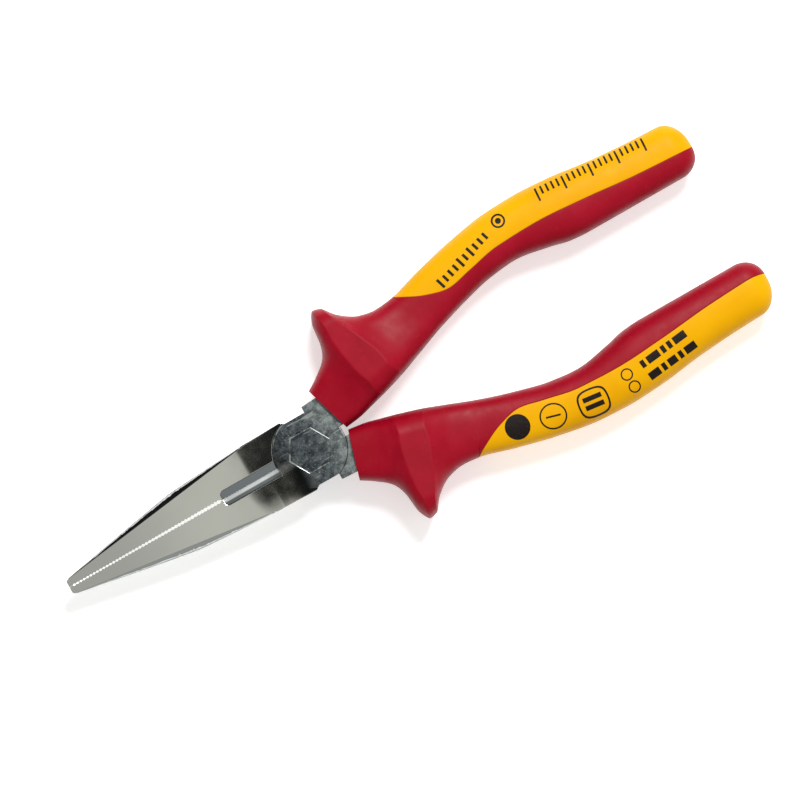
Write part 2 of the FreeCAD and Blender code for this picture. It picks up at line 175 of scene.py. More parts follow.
cap_start_x = handle_end_x - end_cap_length
inner_spread = Profile(
    *along(collar_x, crest_back_x, (0.0, collar_spread), (0.23, 0.95), (0.43, 1.95)),
    *along(collar_x, crest_back_x, (0.69, 3.3), (1.0, 5.15)),
    *along(crest_back_x, neck_x, (0.4, 7.4), (1.0, 10.8)),
    *along(neck_x, belly_x, (0.35, 13.6), (0.7, 15.8), (1.0, 16.55)),
    *along(belly_x, cap_start_x, (0.2, 15.0), (0.31, 13.75), (0.42, tail_spread)),
    (cap_start_x, tail_spread),
)
outer_x = Profile(
    *along(collar_x, crest_front_x, (0.0, collar_x - collar_lean), (0.25, 10.9), (0.55, 14.9)),
    *along(collar_x, crest_front_x, (0.72, 16.2), (0.85, guard_tip_x - 1.8), (1.0, guard_tip_x)),
    (crest_back_x, guard_tip_x + guard_tip_width),
    *along(crest_back_x, neck_x, (0.2, 23.8), (0.5, 28.8), (1.0, neck_x - 8.3)),
    *along(neck_x, belly_x, (0.5, between(neck_x, belly_x, 0.5) - 3.8), (1.0, belly_x - 0.8)),
    (palm_x, palm_x),
    (between(palm_x, cap_start_x, 0.3), between(palm_x, cap_start_x, 0.3) + 1.2),
    (between(palm_x, cap_start_x, 0.8), between(palm_x, cap_start_x, 0.8)),
    (cap_start_x, cap_start_x),
)
outer_spread = Profile(
    *along(collar_x, crest_front_x, (0.0, collar_outer_spread), (0.25, 15.9), (0.55, 19.5)),
    *along(collar_x, crest_front_x, (0.72, 23.0), (0.85, 28.2), (1.0, guard_spread)),
    (crest_back_x, guard_spread - 0.5),
    *along(crest_back_x, neck_x, (0.2, 27.6), (0.5, 24.4), (0.75, 23.6), (1.0, 24.0)),
    *along(neck_x, belly_x, (0.3, 26.9), (0.6, 29.4), (1.0, 31.45)),
    (palm_x, 31.8),
    *along(palm_x, cap_start_x, (0.2, 31.3), (0.5, 29.8), (0.8, 28.9), (1.0, tail_outer_spread)),
)
round_crest = crest_half_thickness + crest_crown
crest_flat = crest_half_thickness - crest_drop
front_half_thickness = Profile(
    *along(collar_x, crest_front_x, (0.0, collar_half_thickness), (0.45, 7.5), (0.78, 9.15)),
    (crest_front_x, round_crest),
)
back_half_thickness = Profile(
    (crest_back_x, round_crest),
    *along(crest_back_x, neck_x, (0.2, 9.4), (0.5, 7.7), (1.0, neck_half_thickness)),
    (belly_x, between(neck_half_thickness, palm_half_thickness, 0.7)),
    (between(palm_x, cap_start_x, 0.2), palm_half_thickness),
    (cap_start_x, tail_half_thickness),
)
fullness = Profile(
    (collar_x, guard_fullness),
    (crest_back_x, guard_fullness),
    (belly_x, grip_fullness),
    (cap_start_x, grip_fullness),
)
window_tail = handle_end_x + 5.0 - window_low_x
window_edge = Profile(
    (window_front_x - 1.5, window_low_spread + 6.8),
    (between(window_low_x, window_front_x, 0.88), window_low_spread + 4.75),
    (between(window_low_x, window_front_x, 0.41), window_low_spread + 1.4),
    (window_low_x, window_low_spread),
    (window_low_x + 0.09 * window_tail, window_low_spread + 1.4),
    (window_low_x + 0.21 * window_tail, window_low_spread + 3.25),
    (window_low_x + 0.36 * window_tail, window_low_spread + 3.7),
    (window_low_x + 0.53 * window_tail, window_low_spread + 2.85),
    (window_low_x + 0.72 * window_tail, window_low_spread + 1.4),
    (window_low_x + window_tail, window_low_spread + 0.2),
)
tang_half_widths = Profile(
    (collar_x, tang_front_half_width),
    (crest_back_x, tang_half_width),
    (tang_end_x, tang_end_half_width),
)
tang_half_thicknesses = Profile(
    (collar_x, tang_front_half_thickness),
    (crest_back_x, tang_half_thickness),
    (tang_end_x, tang_end_half_thickness),
)


def smooth_limit(value, limit, round_by):
    """The smaller of two values, with the corner between them rounded."""
    mix = np.clip(0.5 + 0.5 * (value - limit) / (2 * round_by), 0, 1)
    return value + (limit - value) * mix - 2 * round_by * mix * (1 - mix)


class Section:
    """Upright section of a handle, from its facing side at `inner` to its outer side."""

    def __init__(self, inner, outer, half_thickness, squareness):
        self.inner = np.array(inner)
        self.outer = np.array(outer)
        self.half_thickness = half_thickness
        self.squareness = squareness

    def length(self):
        return float(np.linalg.norm(self.outer - self.inner))

    def place(self, across, height):
        """Points in the handle's frame, from distances across and heights."""
        way = (self.outer - self.inner) / self.length()
        plan = self.inner[None, :] + way[None, :] * across[:, None]
        return np.column_stack([-plan[:, 0], -plan[:, 1], height])

    def ring(self, count=quarter_points):
        """Closed outline, from the outer end over the top, as (across, height) rows."""
        t = np.linspace(0, 1, count, endpoint=False)
        k = self.squareness
        c = (1 - t) ** 3 + 3 * (1 - t) ** 2 * t + 3 * (1 - t) * t * t * k
        h = 3 * (1 - t) ** 2 * t * k + 3 * (1 - t) * t * t + t**3
        side = np.concatenate([c, -h, -c, h])
        up = np.concatenate([h, c, -h, -c])
        reach = self.length() / 2
        return np.column_stack([reach + reach * side, self.half_thickness * up])


def handle_section(station):
    inner = (station, inner_spread(station))
    outer = (outer_x(station), outer_spread(station))
    if station <= crest_front_x:
        thickness = front_half_thickness(station)
    else:
        thickness = back_half_thickness(max(station, crest_back_x))
    return Section(inner, outer, thickness, fullness(station))


def cap_section(share):
    """Section of the rounded end, where share runs from 0 at its start to 1 at the very end."""
    angle = share * math.pi / 2
    draw_in = 1 - math.cos(angle)
    x = cap_start_x + end_cap_length * math.sin(angle)
    inner = (x, tail_spread + end_inner_round * draw_in)
    outer = (x, tail_outer_spread - end_outer_round * draw_in)
    return Section(inner, outer, tail_half_thickness - end_thickness_round * draw_in, grip_fullness)


def steps(start, end, step):
    count = max(1, round((end - start) / step))
    return [between(start, end, i / count) for i in range(count)]


def handle_sections():
    """Sections from collar to end, closer together over the crest and the window's point."""
    guard_start, guard_end = crest_front_x - 3.3, crest_back_x + 1.5
    point_start, point_end = neck_x - 0.5, neck_x + 3.5
    stops = steps(collar_x, guard_start, coarse_step)
    stops += steps(guard_start, guard_end, fine_step)
    stops += steps(guard_end, point_start, middle_step)
    stops += steps(point_start, point_end, fine_step / 2)
    stops += steps(point_end, cap_start_x, coarse_step)
    rows = [handle_section(s) for s in stops]
    return rows + [cap_section(i / cap_rings) for i in range(cap_rings + 1)]


def outline_arcs(section, edge_shift):
    """The section's outline cut at the colour boundary.

    Returns the yellow and the red arc as dense (across, height) rows. Both run the same way
    round, and the yellow one is None where the section is all red. In the rounded end both
    handles' boundaries run alike, so that each crosses the small flat at the very end.
    """
    ring = section.ring()
    flattened = smooth_limit(np.abs(ring[:, 1]), crest_flat, crease_round)
    ring[:, 1] = np.sign(ring[:, 1]) * flattened
    closed = np.vstack([ring, ring[:1]])
    way = (section.outer - section.inner) / section.length()
    plan_x = section.inner[0] + way[0] * closed[:, 0]
    plan_y = section.inner[1] + way[1] * closed[:, 0]
    first, last = window_edge.x[0], window_edge.x[-1]
    edge = np.array([window_edge(min(max(x, first), last)) for x in plan_x]) + edge_shift
    in_cap = np.clip((plan_x - cap_start_x) / end_cap_length, 0, 1)
    edge += (edge_shift_a - edge_shift) * in_cap**2
    past = plan_y - edge
    past[plan_x < window_front_x - 1.0] = -1.0
    quarter = len(ring) // 2
    top = past[: quarter + 1]
    if top[0] <= 0:
        return None, closed
    if top[-1] >= 0:
        cut = quarter - 1.0
    else:
        i = int(np.argmax(top < 0))
        cut = i - 1 + top[i - 1] / (top[i - 1] - top[i])
    index = np.arange(len(closed))
    low_end = len(ring) - cut

    def sample(start, end):
        inside = index[(index > start) & (index < end)].astype(float)
        at = np.concatenate([[start], inside, [end]])
        return np.column_stack([np.interp(at, index, closed[:, j]) for j in (0, 1)])

    red = sample(cut, low_end)
    top_part = sample(0.0, cut)
    low_part = sample(low_end, float(len(ring)))
    yellow = np.vstack([low_part, top_part[1:]])
    return yellow, red


def spread_points(arc, count):
    """Evenly spaced points along an arc, closer together next to its two ends."""
    run = np.concatenate([[0], np.cumsum(np.linalg.norm(np.diff(arc, axis=0), axis=1))])
    total = run[-1]
    near = [lip_radius * s for s in lips]
    scale = min(1.0, total / (4 * max(near)))
    near = np.array(near) * scale
    middle = np.linspace(near[-1], total - near[-1], count)
    at = np.concatenate([near[:-1], middle, total - near[:-1][::-1]])
    points = np.column_stack([np.interp(at, run, arc[:, j]) for j in (0, 1)])
    return points, np.minimum(at, total - at), scale


def outward(ring):
    """Unit normals of a closed outline that runs anticlockwise."""
    way = np.roll(ring, -1, axis=0) - np.roll(ring, 1, axis=0)
    size = np.maximum(np.linalg.norm(way, axis=1), 1e-9)
    return np.column_stack([way[:, 1], -way[:, 0]]) / size[:, None]


def rounded_edge(points, reach, normals, radius):
    """Sinks an arc's two ends in a quarter round, which is the soft lip beside the groove."""
    left = np.clip(radius - reach, 0, radius)
    drop = radius - np.sqrt(np.maximum(radius**2 - left**2, 0))
    return points - normals * drop[:, None]


def ring_normals(section, points):
    """Outward normals taken from the whole outline, so that they agree across the boundary."""
    ring = section.ring()
    gaps = np.linalg.norm(points[:, None, :] - ring[None, :, :], axis=2)
    return outward(ring)[np.argmin(gaps, axis=1)]


def mesh_piece(name, rows, faces, body, material, nodes=()):
    mesh = bpy.data.meshes.new(name)
    mesh.from_pydata([tuple(p) for p in rows], [], faces)
    mesh.validate()
    piece = add_to_scene(name, mesh)
    mesh.polygons.foreach_set("use_smooth", [True] * len(mesh.polygons))
    mesh.materials.append(material)
    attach(piece, body)
    if nodes:
        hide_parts(*nodes)
    return piece


def tidy_mesh(piece):
    """Welds points that meet, turns every face outward and marks sharp edges."""
    work = bmesh.new()
    work.from_mesh(piece.data)
    bmesh.ops.remove_doubles(work, verts=work.verts, dist=weld_distance)
    bmesh.ops.dissolve_degenerate(work, edges=work.edges, dist=weld_distance)
    bmesh.ops.recalc_face_normals(work, faces=work.faces)
    limit = math.radians(sharp_angle)
    for edge in work.edges:
        if len(edge.link_faces) == 2:
            edge.smooth = edge.calc_face_angle(0.0) < limit
    work.to_mesh(piece.data)
    work.free()


def hug(points, centre, half_width, half_height, squareness):
    """A rounded box about centre, sampled in the directions of the given points."""
    box = Section((0.0, 0.0), (2 * half_width, 0.0), half_height, squareness).ring()
    box = box - np.array([half_width, 0.0])
    angle = np.arctan2(box[:, 1], box[:, 0]) % (2 * math.pi)
    order = np.argsort(angle)
    want = np.arctan2(points[:, 1], points[:, 0] - centre) % (2 * math.pi)
    found = [np.interp(want, angle[order], box[order, j], period=2 * math.pi) for j in (0, 1)]
    return np.column_stack([found[0] + centre, found[1]])


def tang_middle(section):
    """Where the tang runs: the middle of the sleeve, measured from the facing side."""
    return grip_wall + min(sleeve_width, section.length() - 2 * grip_wall) / 2


def tang_points(section, points):
    """The tang's own outline at this section, sampled in the directions of the given points."""
    station = section.inner[0]
    return hug(
        points,
        tang_middle(section),
        tang_half_widths(station),
        tang_half_thicknesses(station),
        tang_fullness,
    )


def collar_points(section, points):
    """The full-thickness steel's outline where it enters the collar."""
    collar_width = collar_outer_spread - collar_spread
    near, far = [section.length() * (side - collar_spread) / collar_width for side in collar_steel]
    return hug(points, (near + far) / 2, (far - near) / 2, half - skin_gap, collar_fullness)


def loops_to_faces(start, rings, count, closed):
    """Quads between neighbouring rings of `count` points, from vertex number `start`."""
    faces = []
    last = count if closed else count - 1
    for r in range(rings - 1):
        for i in range(last):
            j = (i + 1) % count
            a = start + r * count
            b = a + count
            faces.append((a + i, a + j, b + j, b + i))
    return faces


def handle_rows(edge_shift):
    """Every ring of the red grip and the yellow sleeve, in the handle's frame."""
    red_outer, red_inner, yellow_outer, tube = [], [], [], []
    for section in handle_sections():
        yellow, red = outline_arcs(section, edge_shift)
        radius = 0.0
        if yellow is not None:
            width = float(np.sum(np.linalg.norm(np.diff(yellow, axis=0), axis=1)))
            depth = float(np.sum(np.linalg.norm(np.diff(red, axis=0), axis=1)))
            radius = lip_radius * min(1.0, width / 8, depth / 4)
        wall = min(grip_wall, 0.5 * section.length() / 2, 0.5 * section.half_thickness)
        points, reach, scale = spread_points(red, red_points)
        normals = ring_normals(section, points)
        skin = rounded_edge(points, reach, normals, radius * scale)
        inner = points - normals * wall
        station = section.inner[0]
        if station <= collar_x + steel_bite:
            inner = collar_points(section, points)
        elif station < sleeve_start_x:
            inner = tang_points(section, points)
        red_outer.append(section.place(skin[:, 0], skin[:, 1]))
        red_inner.append(section.place(inner[:, 0], inner[:, 1]))
        if station < sleeve_start_x:
            continue
        core = points - normals * (wall + skin_gap)
        if yellow is None:
            across_points = yellow_points + 2 * (len(lips) - 1)
            window = np.repeat((core[:1] + core[-1:]) / 2, across_points, axis=0)
        else:
            window, reach, scale = spread_points(yellow, yellow_points)
            window = rounded_edge(window, reach, ring_normals(section, window), radius * scale)
        loop = np.vstack([window, core])
        yellow_outer.append(section.place(loop[:, 0], loop[:, 1]))
        if station <= tang_end_x:
            hole = tang_points(section, loop)
            tube.append(section.place(hole[:, 0], hole[:, 1]))
    return red_outer, red_inner, yellow_outer, tube


def to_metres(rows, other_half):
    points = np.vstack(rows)
    if other_half:
        points = points * np.array([1.0, -1.0, -1.0])
    return (points + np.array([0.0, 0.0, half])) * MM


def red_grip(name, outer, inner, other_half, body, node, material):
    """The skin between the outer and inner rings, with a gap all along the yellow window."""
    count = len(outer[0])
    rings = len(outer)
    faces = loops_to_faces(0, rings, count, False)
    under = rings * count
    faces += loops_to_faces(under, rings, count, False)
    for r in range(rings - 1):
        for i in (0, count - 1):
            a = r * count + i
            faces.append((a, a + count, under + a + count, under + a))
    for r in (0, rings - 1):
        for i in range(count - 1):
            a = r * count + i
            faces.append((a, a + 1, under + a + 1, under + a))
    points = to_metres(outer + inner, other_half)
    return mesh_piece(name, points, faces, body, material, [node])


def yellow_sleeve(name, outer, tube, other_half, body, node, material):
    """Solid core under the red skin, with a blind hole for the tang."""
    count = len(outer[0])
    faces = loops_to_faces(0, len(outer), count, True)
    under = len(outer) * count
    faces += loops_to_faces(under, len(tube), count, True)
    for i in range(count):
        j = (i + 1) % count
        faces.append((i, j, under + j, under + i))
    faces.append(tuple(range((len(outer) - 1) * count, len(outer) * count)))
    faces.append(tuple(range(under + (len(tube) - 1) * count, under + len(tube) * count)))
    points = to_metres(outer + tube, other_half)
    return mesh_piece(name, points, faces, body, material, [node])


# ---- printed marks: plain shapes, where a real tool carries its printing ----


def bar(u, v, length, height):
    """Filled rectangle about (u, v), as rows of plan points."""
    down = max(3, round(height / ink_step))
    along_it = max(3, round(length / ink_step))
    rows = []
    for j in range(down + 1):
        y = v + (j / down - 0.5) * height
        rows.append([(u + (i / along_it - 0.5) * length, y) for i in range(along_it + 1)])
    return rows, False


def disc(u, v, radius):
    """Filled circle, from a square grid drawn in to a round one."""
    count = max(6, round(2 * radius / ink_step))
    ticks = [2 * i / count - 1 for i in range(count + 1)]

    def drawn_in(a, b):
        x = u + radius * a * math.sqrt(1 - b * b / 2)
        y = v + radius * b * math.sqrt(1 - a * a / 2)
        return x, y

    return [[drawn_in(a, b) for a in ticks] for b in ticks], False


def hoop(u, v, half_length, half_height, stroke, squareness=circle):
    """Closed outline between two rings."""
    rows = []
    for inset in (0.0, stroke / 2, stroke):
        reach = half_length - inset
        box = Section((0.0, 0.0), (2 * reach, 0.0), half_height - inset, squareness)
        rows.append([(u + p[0] - reach, v + p[1]) for p in box.ring(hoop_points)])
    return rows, True


def scale_ticks(step, count, width, height):
    """Graduations along a row, every fifth one full height."""
    marks = []
    for i in range(count):
        tall = height if i % 5 == 0 else 0.6 * height
        marks.append(bar(i * step, (height - tall) / 2, width, tall))
    return marks


def dashes(v, height, lengths, gap):
    """A broken line of the given lengths."""
    marks = []
    start = 0.0
    for length in lengths:
        marks.append(bar(start + length / 2, v, length, height))
        start += length + gap
    return marks


def marks_on_a():
    """Rows of (origin, heading in degrees, shapes) along the handle of half A."""
    heights = [2.9 if i in (0, 4, 6) else 2.1 for i in range(10)]
    strokes = [bar(i * 1.9, 0.0, 0.75, height) for i, height in enumerate(heights)]
    emblem = [hoop(1.9, 0.0, 1.9, 1.9, 0.5), disc(1.9, 0.0, 0.8)]
    return [
        ((-51.8, -20.9), 197.5, strokes),
        ((-71.3, -27.2), 197.5, emblem),
        ((-85.6, -28.6), 175.5, scale_ticks(1.55, 21, 0.55, 3.6)),
    ]


def marks_on_b():
    """The same for half B: a spot, three outlined signs and two rows of dashes."""
    spot = [disc(0.0, 0.0, 3.4)]
    ring = [hoop(0.0, 0.0, 3.7, 3.5, 0.42), bar(0.0, 0.0, 4.0, 0.5)]
    panel = [hoop(0.0, 0.0, 4.3, 3.9, 0.5, 0.8)]
    panel += [bar(0.0, v, 5.2, 1.3) for v in (0.9, -1.3)]
    pair = [hoop(0.0, v, 1.65, 1.65, 0.36) for v in (-1.9, 1.9)]
    rows = dashes(-1.95, 2.1, (3.4, 1.2, 2.6, 1.2, 3.4), 0.8)
    rows += dashes(1.95, 2.1, (1.2, 3.8, 1.2, 1.2, 3.8), 0.8)
    return [
        ((-50.6, 22.0), 0.0, spot),
        ((-60.2, 24.2), -16.0, ring),
        ((-71.3, 26.3), -7.0, panel),
        ((-82.6, 26.2), 4.0, pair),
        ((-87.2, 26.0), 186.5, rows),
    ]


def crest_pips():
    """A row of faint moulded rings along the flat crest of half A's guard."""
    rings = [hoop(i * 1.75, 0.0, 0.62, 0.62, 0.3) for i in range(8)]
    return [((-26.0, -13.6), -81.0, rings)]


def rim_loops(rows, count, closed):
    """Vertex numbers round the edges of a grid of `rows` rows of `count` points."""
    first = list(range(count))
    last = [(rows - 1) * count + i for i in first]
    if closed:
        return [first, last]
    far_side = [r * count + count - 1 for r in range(1, rows - 1)]
    near_side = [r * count for r in range(rows - 2, 0, -1)]
    return [first + far_side + last[::-1] + near_side]


def raised_marks(name, rows, base, body, material, height):
    """Thin skins laid on the upper face of a piece, each a closed shell."""
    tree = BVHTree.FromPolygons(
        [v.co.copy() for v in base.data.vertices],
        [tuple(f.vertices) for f in base.data.polygons],
    )
    above = cad_box[1].z + half * MM
    points = []
    faces = []
    for origin, heading, shapes in rows:
        turn = math.radians(heading)
        way = (math.cos(turn), math.sin(turn))
        for grid, closed in shapes:
            count = len(grid[0])
            tops = []
            lows = []
            for u, v in [p for row in grid for p in row]:
                x = (origin[0] + u * way[0] - v * way[1]) * MM
                y = (origin[1] + u * way[1] + v * way[0]) * MM
                hit, normal, _, _ = tree.ray_cast(Vector((x, y, above)), Vector((0, 0, -1)))
                tops.append(hit + normal * height)
                lows.append(hit - normal * height)
            start = len(points)
            under = start + len(tops)
            points += tops + lows
            faces += loops_to_faces(start, len(grid), count, closed)
            faces += loops_to_faces(under, len(grid), count, closed)
            for loop in rim_loops(len(grid), count, closed):
                for a, b in zip(loop, loop[1:] + loop[:1]):
                    faces.append((start + a, start + b, under + b, under + a))
    tidy_mesh(mesh_piece(name, points, faces, body, material))


# ---- materials ----


class Graph:
    """Short names for the few kinds of node that the materials and the world use."""

    def __init__(self, tree, coordinate="Object"):
        self.tree = tree
        self.place = self.node("ShaderNodeTexCoord").outputs[coordinate]

    def node(self, kind, **settings):
        made = self.tree.nodes.new(kind)
        for key, value in settings.items():
            setattr(made, key, value)
        return made

    def link(self, source, target):
        if isinstance(source, (int, float, tuple)):
            target.default_value = source
        else:
            self.tree.links.new(source, target)

    def axes(self):
        made = self.node("ShaderNodeSeparateXYZ")
        self.link(self.place, made.inputs[0])
        return made.outputs

    def uprightness(self):
        """1 on level faces and 0 on upright ones."""
        geometry = self.node("ShaderNodeNewGeometry")
        parts = self.node("ShaderNodeSeparateXYZ")
        self.link(geometry.outputs["True Normal"], parts.inputs[0])
        return self.math("ABSOLUTE", parts.outputs["Z"])

    def noise(self, scale, detail=3.0, roughness=0.55, stretch=(1, 1, 1)):
        mapping = self.node("ShaderNodeMapping")
        self.link(self.place, mapping.inputs["Vector"])
        mapping.inputs["Scale"].default_value = stretch
        texture = self.node("ShaderNodeTexNoise")
        self.link(mapping.outputs[0], texture.inputs["Vector"])
        texture.inputs["Scale"].default_value = scale
        texture.inputs["Detail"].default_value = detail
        texture.inputs["Roughness"].default_value = roughness
        return texture.outputs["Fac"]

    def math(self, operation, a, b=0.0, c=0.0):
        made = self.node("ShaderNodeMath", operation=operation)
        for value, target in zip((a, b, c), made.inputs):
            self.link(value, target)
        return made.outputs[0]

    def product(self, first, *others):
        for other in others:
            first = self.math("MULTIPLY", first, other)
        return first

    def spread(self, value, low, high, out_low=0.0, out_high=1.0):
        """Smooth step from out_low, where the value is `low`, to out_high, where it is `high`."""
        made = self.node("ShaderNodeMapRange", interpolation_type="SMOOTHSTEP")
        self.link(value, made.inputs["Value"])
        made.inputs["From Min"].default_value = low
        made.inputs["From Max"].default_value = high
        made.inputs["To Min"].default_value = out_low
        made.inputs["To Max"].default_value = out_high
        return made.outputs["Result"]

    def mix(self, factor, a, b):
        made = self.node("ShaderNodeMix", data_type="RGBA")
        self.link(factor, made.inputs["Factor"])
        self.link(a, made.inputs[6])
        self.link(b, made.inputs[7])
        return made.outputs[2]

    def bump(self, height, strength, distance, under=None):
        made = self.node("ShaderNodeBump")
        made.inputs["Strength"].default_value = strength
        made.inputs["Distance"].default_value = distance
        self.link(height, made.inputs["Height"])
        if under is not None:
            self.link(under, made.inputs["Normal"])
        return made.outputs[0]


def new_material(name):
    material = bpy.data.materials.new(name)
    material.use_nodes = True
    material.node_tree.nodes.clear()
    g = Graph(material.node_tree)
    out = g.node("ShaderNodeOutputMaterial")
    shader = g.node("ShaderNodeBsdfPrincipled")
    g.link(shader.outputs[0], out.inputs[0])
    return material, shader, g


def colour(red, green, blue):
    """Linear colour from 0 to 255 screen values."""

    def linear(value):
        share = value / 255
        return share / 12.92 if value <= 10 else ((share + 0.055) / 1.055) ** 2.4

    return (linear(red), linear(green), linear(blue), 1.0)


def red_material():
    """Soft red grip: fine moulded grain, slightly paler where hands rub it."""
    material, shader, g = new_material("red_grip")
    worn = g.spread(g.noise(90.0, 4.0, 0.6), 0.42, 0.72)
    base = g.mix(worn, colour(138, 0, 24), colour(147, 5, 31))
    dust = g.spread(g.noise(900.0, 2.0, 0.5), 0.60, 0.80, 0.0, 0.10)
    base = g.mix(dust, base, colour(180, 55, 72))
    g.link(base, shader.inputs["Base Color"])
    g.link(g.spread(g.noise(300.0), 0.3, 0.7, 0.42, 0.54), shader.inputs["Roughness"])
    grain = g.bump(g.noise(3200.0, 2.0), 0.25, 0.04 * MM)
    g.link(g.bump(g.noise(160.0, 3.0), 0.15, 0.3 * MM, grain), shader.inputs["Normal"])
    shader.inputs["Specular IOR Level"].default_value = 0.14
    return material


def yellow_material():
    """Hard yellow insulation: smoother than the red, with faint smudges of handling."""
    material, shader, g = new_material("yellow_insulation")
    cloud = g.spread(g.noise(45.0, 4.0, 0.6), 0.40, 0.70)
    base = g.mix(cloud, colour(214, 156, 2), colour(208, 147, 1))
    smudge = g.spread(g.noise(220.0, 5.0, 0.65), 0.66, 0.80, 0.0, 0.35)
    base = g.mix(smudge, base, colour(168, 112, 14))
    g.link(base, shader.inputs["Base Color"])
    g.link(g.spread(g.noise(250.0), 0.3, 0.7, 0.36, 0.48), shader.inputs["Roughness"])
    grain = g.bump(g.noise(2600.0, 2.0), 0.12, 0.03 * MM)
    g.link(g.bump(g.noise(120.0, 3.0), 0.12, 0.3 * MM, grain), shader.inputs["Normal"])
    shader.inputs["Specular IOR Level"].default_value = 0.06
    return material


def ink_material():
    """Pad-printed black ink, thinner in places."""
    material, shader, g = new_material("print_ink")
    thin = g.spread(g.noise(1500.0, 3.0), 0.45, 0.75, 0.0, 0.5)
    g.link(g.mix(thin, colour(20, 14, 12), colour(46, 32, 18)), shader.inputs["Base Color"])
    shader.inputs["Roughness"].default_value = 0.45
    shader.inputs["Specular IOR Level"].default_value = 0.15
    return material


# ---- steel: x runs along the jaws and y across, in metres, from the pivot ----

plate_edge = 10.04 * MM        # radius of the ground hinge plate
ground_front = 1.8 * MM        # beside the plate the grinding ends here
taper_start = 11.0 * MM        # where the polished taper leaves the shoulder
slot_half_width = 2.1 * MM
slot_front = 26.6 * MM
bevel_height = 1.9 * MM        # the cutting bevels' rise from the middle plane
bevel_flattening = -0.58       # how far their slope is stoned down
bevel_roughness = 0.95         # of the shallow bevels round the hexagon


def own_side(g, y, z):
    """Distance across, positive towards the jaw that is one piece with the plate on that face."""
    facing = g.math("SIGN", g.math("SUBTRACT", z, half * MM))
    return g.product(y, facing)


def rounded_edges(g, radius):
    """Normal of the surface with its sharp edges rounded off."""
    made = g.node("ShaderNodeBevel", samples=6)
    made.inputs["Radius"].default_value = radius
    return made.outputs[0]


def bevel_highlight_mask(g):
    """1 on the shallow bevels round the joint's plate and the hexagon, where a paler colour is a
    painted highlight; broken up in places and stronger towards the jaws.
    """
    upright = g.uprightness()
    tilted = g.product(g.spread(upright, 0.985, 0.975), g.spread(upright, 0.90, 0.93))
    unbroken = g.spread(g.noise(260.0, 3.0, 0.6), 0.40, 0.58, 0.15, 1.0)
    towards_jaws = g.spread(g.axes()[0], -6.0 * MM, 3.0 * MM, 0.30, 0.85)
    return g.product(tilted, unbroken, towards_jaws)


def ground_steel(g, x):
    """Colour and roughness of the ground joint: blotchy, and darker towards the jaws."""
    blotch = g.noise(520.0, 5.0, 0.65)
    speck = g.noise(2100.0, 3.0, 0.6)
    scratch = g.noise(800.0, 2.0, 0.5, stretch=(0.12, 1.0, 1.0))
    patches = g.spread(blotch, 0.33, 0.70)
    dark = g.mix(patches, colour(45, 49, 53), colour(80, 86, 88))
    pale = g.mix(patches, colour(80, 86, 87), colour(122, 129, 127))
    base = g.mix(g.spread(x, -9.0 * MM, -0.6 * MM), pale, dark)
    base = g.mix(g.spread(speck, 0.55, 0.78, 0.0, 0.5), base, colour(165, 172, 168))
    base = g.mix(g.spread(scratch, 0.63, 0.70, 0.0, 0.35), base, colour(170, 176, 172))
    matt = g.spread(blotch, 0.3, 0.7, 0.34, 0.50)
    return base, g.product(matt, g.spread(x, 8.5 * MM, 3.0 * MM, 0.5, 1.0))


def metal(g, shader, base, rough):
    """Finishes a steel shader, with the joint's shallow bevels matt and painted paler as a
    highlight.
    """
    bevels = bevel_highlight_mask(g)
    # Painted highlight: the shallow bevels are paler.
    g.link(g.mix(bevels, base, colour(158, 163, 159)), shader.inputs["Base Color"])
    matt = g.math("MAXIMUM", rough, g.product(bevels, bevel_roughness))
    g.link(matt, shader.inputs["Roughness"])
    shader.inputs["Metallic"].default_value = 1.0


def polished_colour(g, x):
    """Mirror polish: greyer towards the tips, with painted shade on sloping faces and flanks and a
    painted dark reflection beside the joint.
    """
    upright = g.uprightness()
    cloud = g.spread(g.noise(60.0, 3.0), 0.35, 0.65)
    base = g.mix(cloud, colour(220, 221, 212), colour(226, 227, 218))
    base = g.mix(g.spread(x, 30.0 * MM, 62.0 * MM), base, colour(198, 201, 195))
    # Painted shade: faces that start to slope are a little darker, and steep flanks much darker,
    # standing in for the dark surroundings they reflect.
    base = g.mix(g.spread(upright, 0.90, 0.82), base, colour(176, 180, 178))
    base = g.mix(g.spread(upright, 0.72, 0.45), base, colour(84, 88, 90))
    # Painted dark reflection: the polish next to the joint is darker.
    return g.mix(g.spread(x, 9.5 * MM, 5.0 * MM), base, colour(120, 124, 126))


def slot_mask(g, x, z, across):
    """1 on the cutting bevels at the bottom of the slot."""
    depth = g.math("ABSOLUTE", g.math("SUBTRACT", z, half * MM))
    return g.product(
        g.spread(depth, bevel_height + 0.3 * MM, bevel_height),
        g.spread(across, slot_half_width + 0.1 * MM, slot_half_width),
        g.spread(x, slot_front + 0.4 * MM, slot_front),
    )


def cutting_bevel_colour(g, own, across):
    """Satin grey, where the plate's own jaw's bevel is a darker grey as painted shade, with a pale
    painted highlight strip and a painted shadow in the inner corner by the slot's wall.
    """
    own_bevel = g.spread(own, -0.04 * MM, 0.04 * MM)
    # Painted highlight: a narrow pale strip along the plate's own bevel.
    painted_highlight_strip = g.product(own_bevel, g.spread(own, 1.25 * MM, 0.8 * MM))
    # Painted shadow: the dark inner corner beside the slot's wall.
    corner = g.product(own_bevel, g.spread(across, 1.85 * MM, 2.0 * MM))
    # Painted shade: the plate's own bevel is a darker grey than the other, as lit and shaded copies
    # of one satin finish.
    base = g.mix(own_bevel, colour(140, 147, 151), colour(112, 118, 120))
    base = g.mix(painted_highlight_strip, base, colour(228, 232, 232))
    return g.mix(corner, base, colour(70, 74, 76))


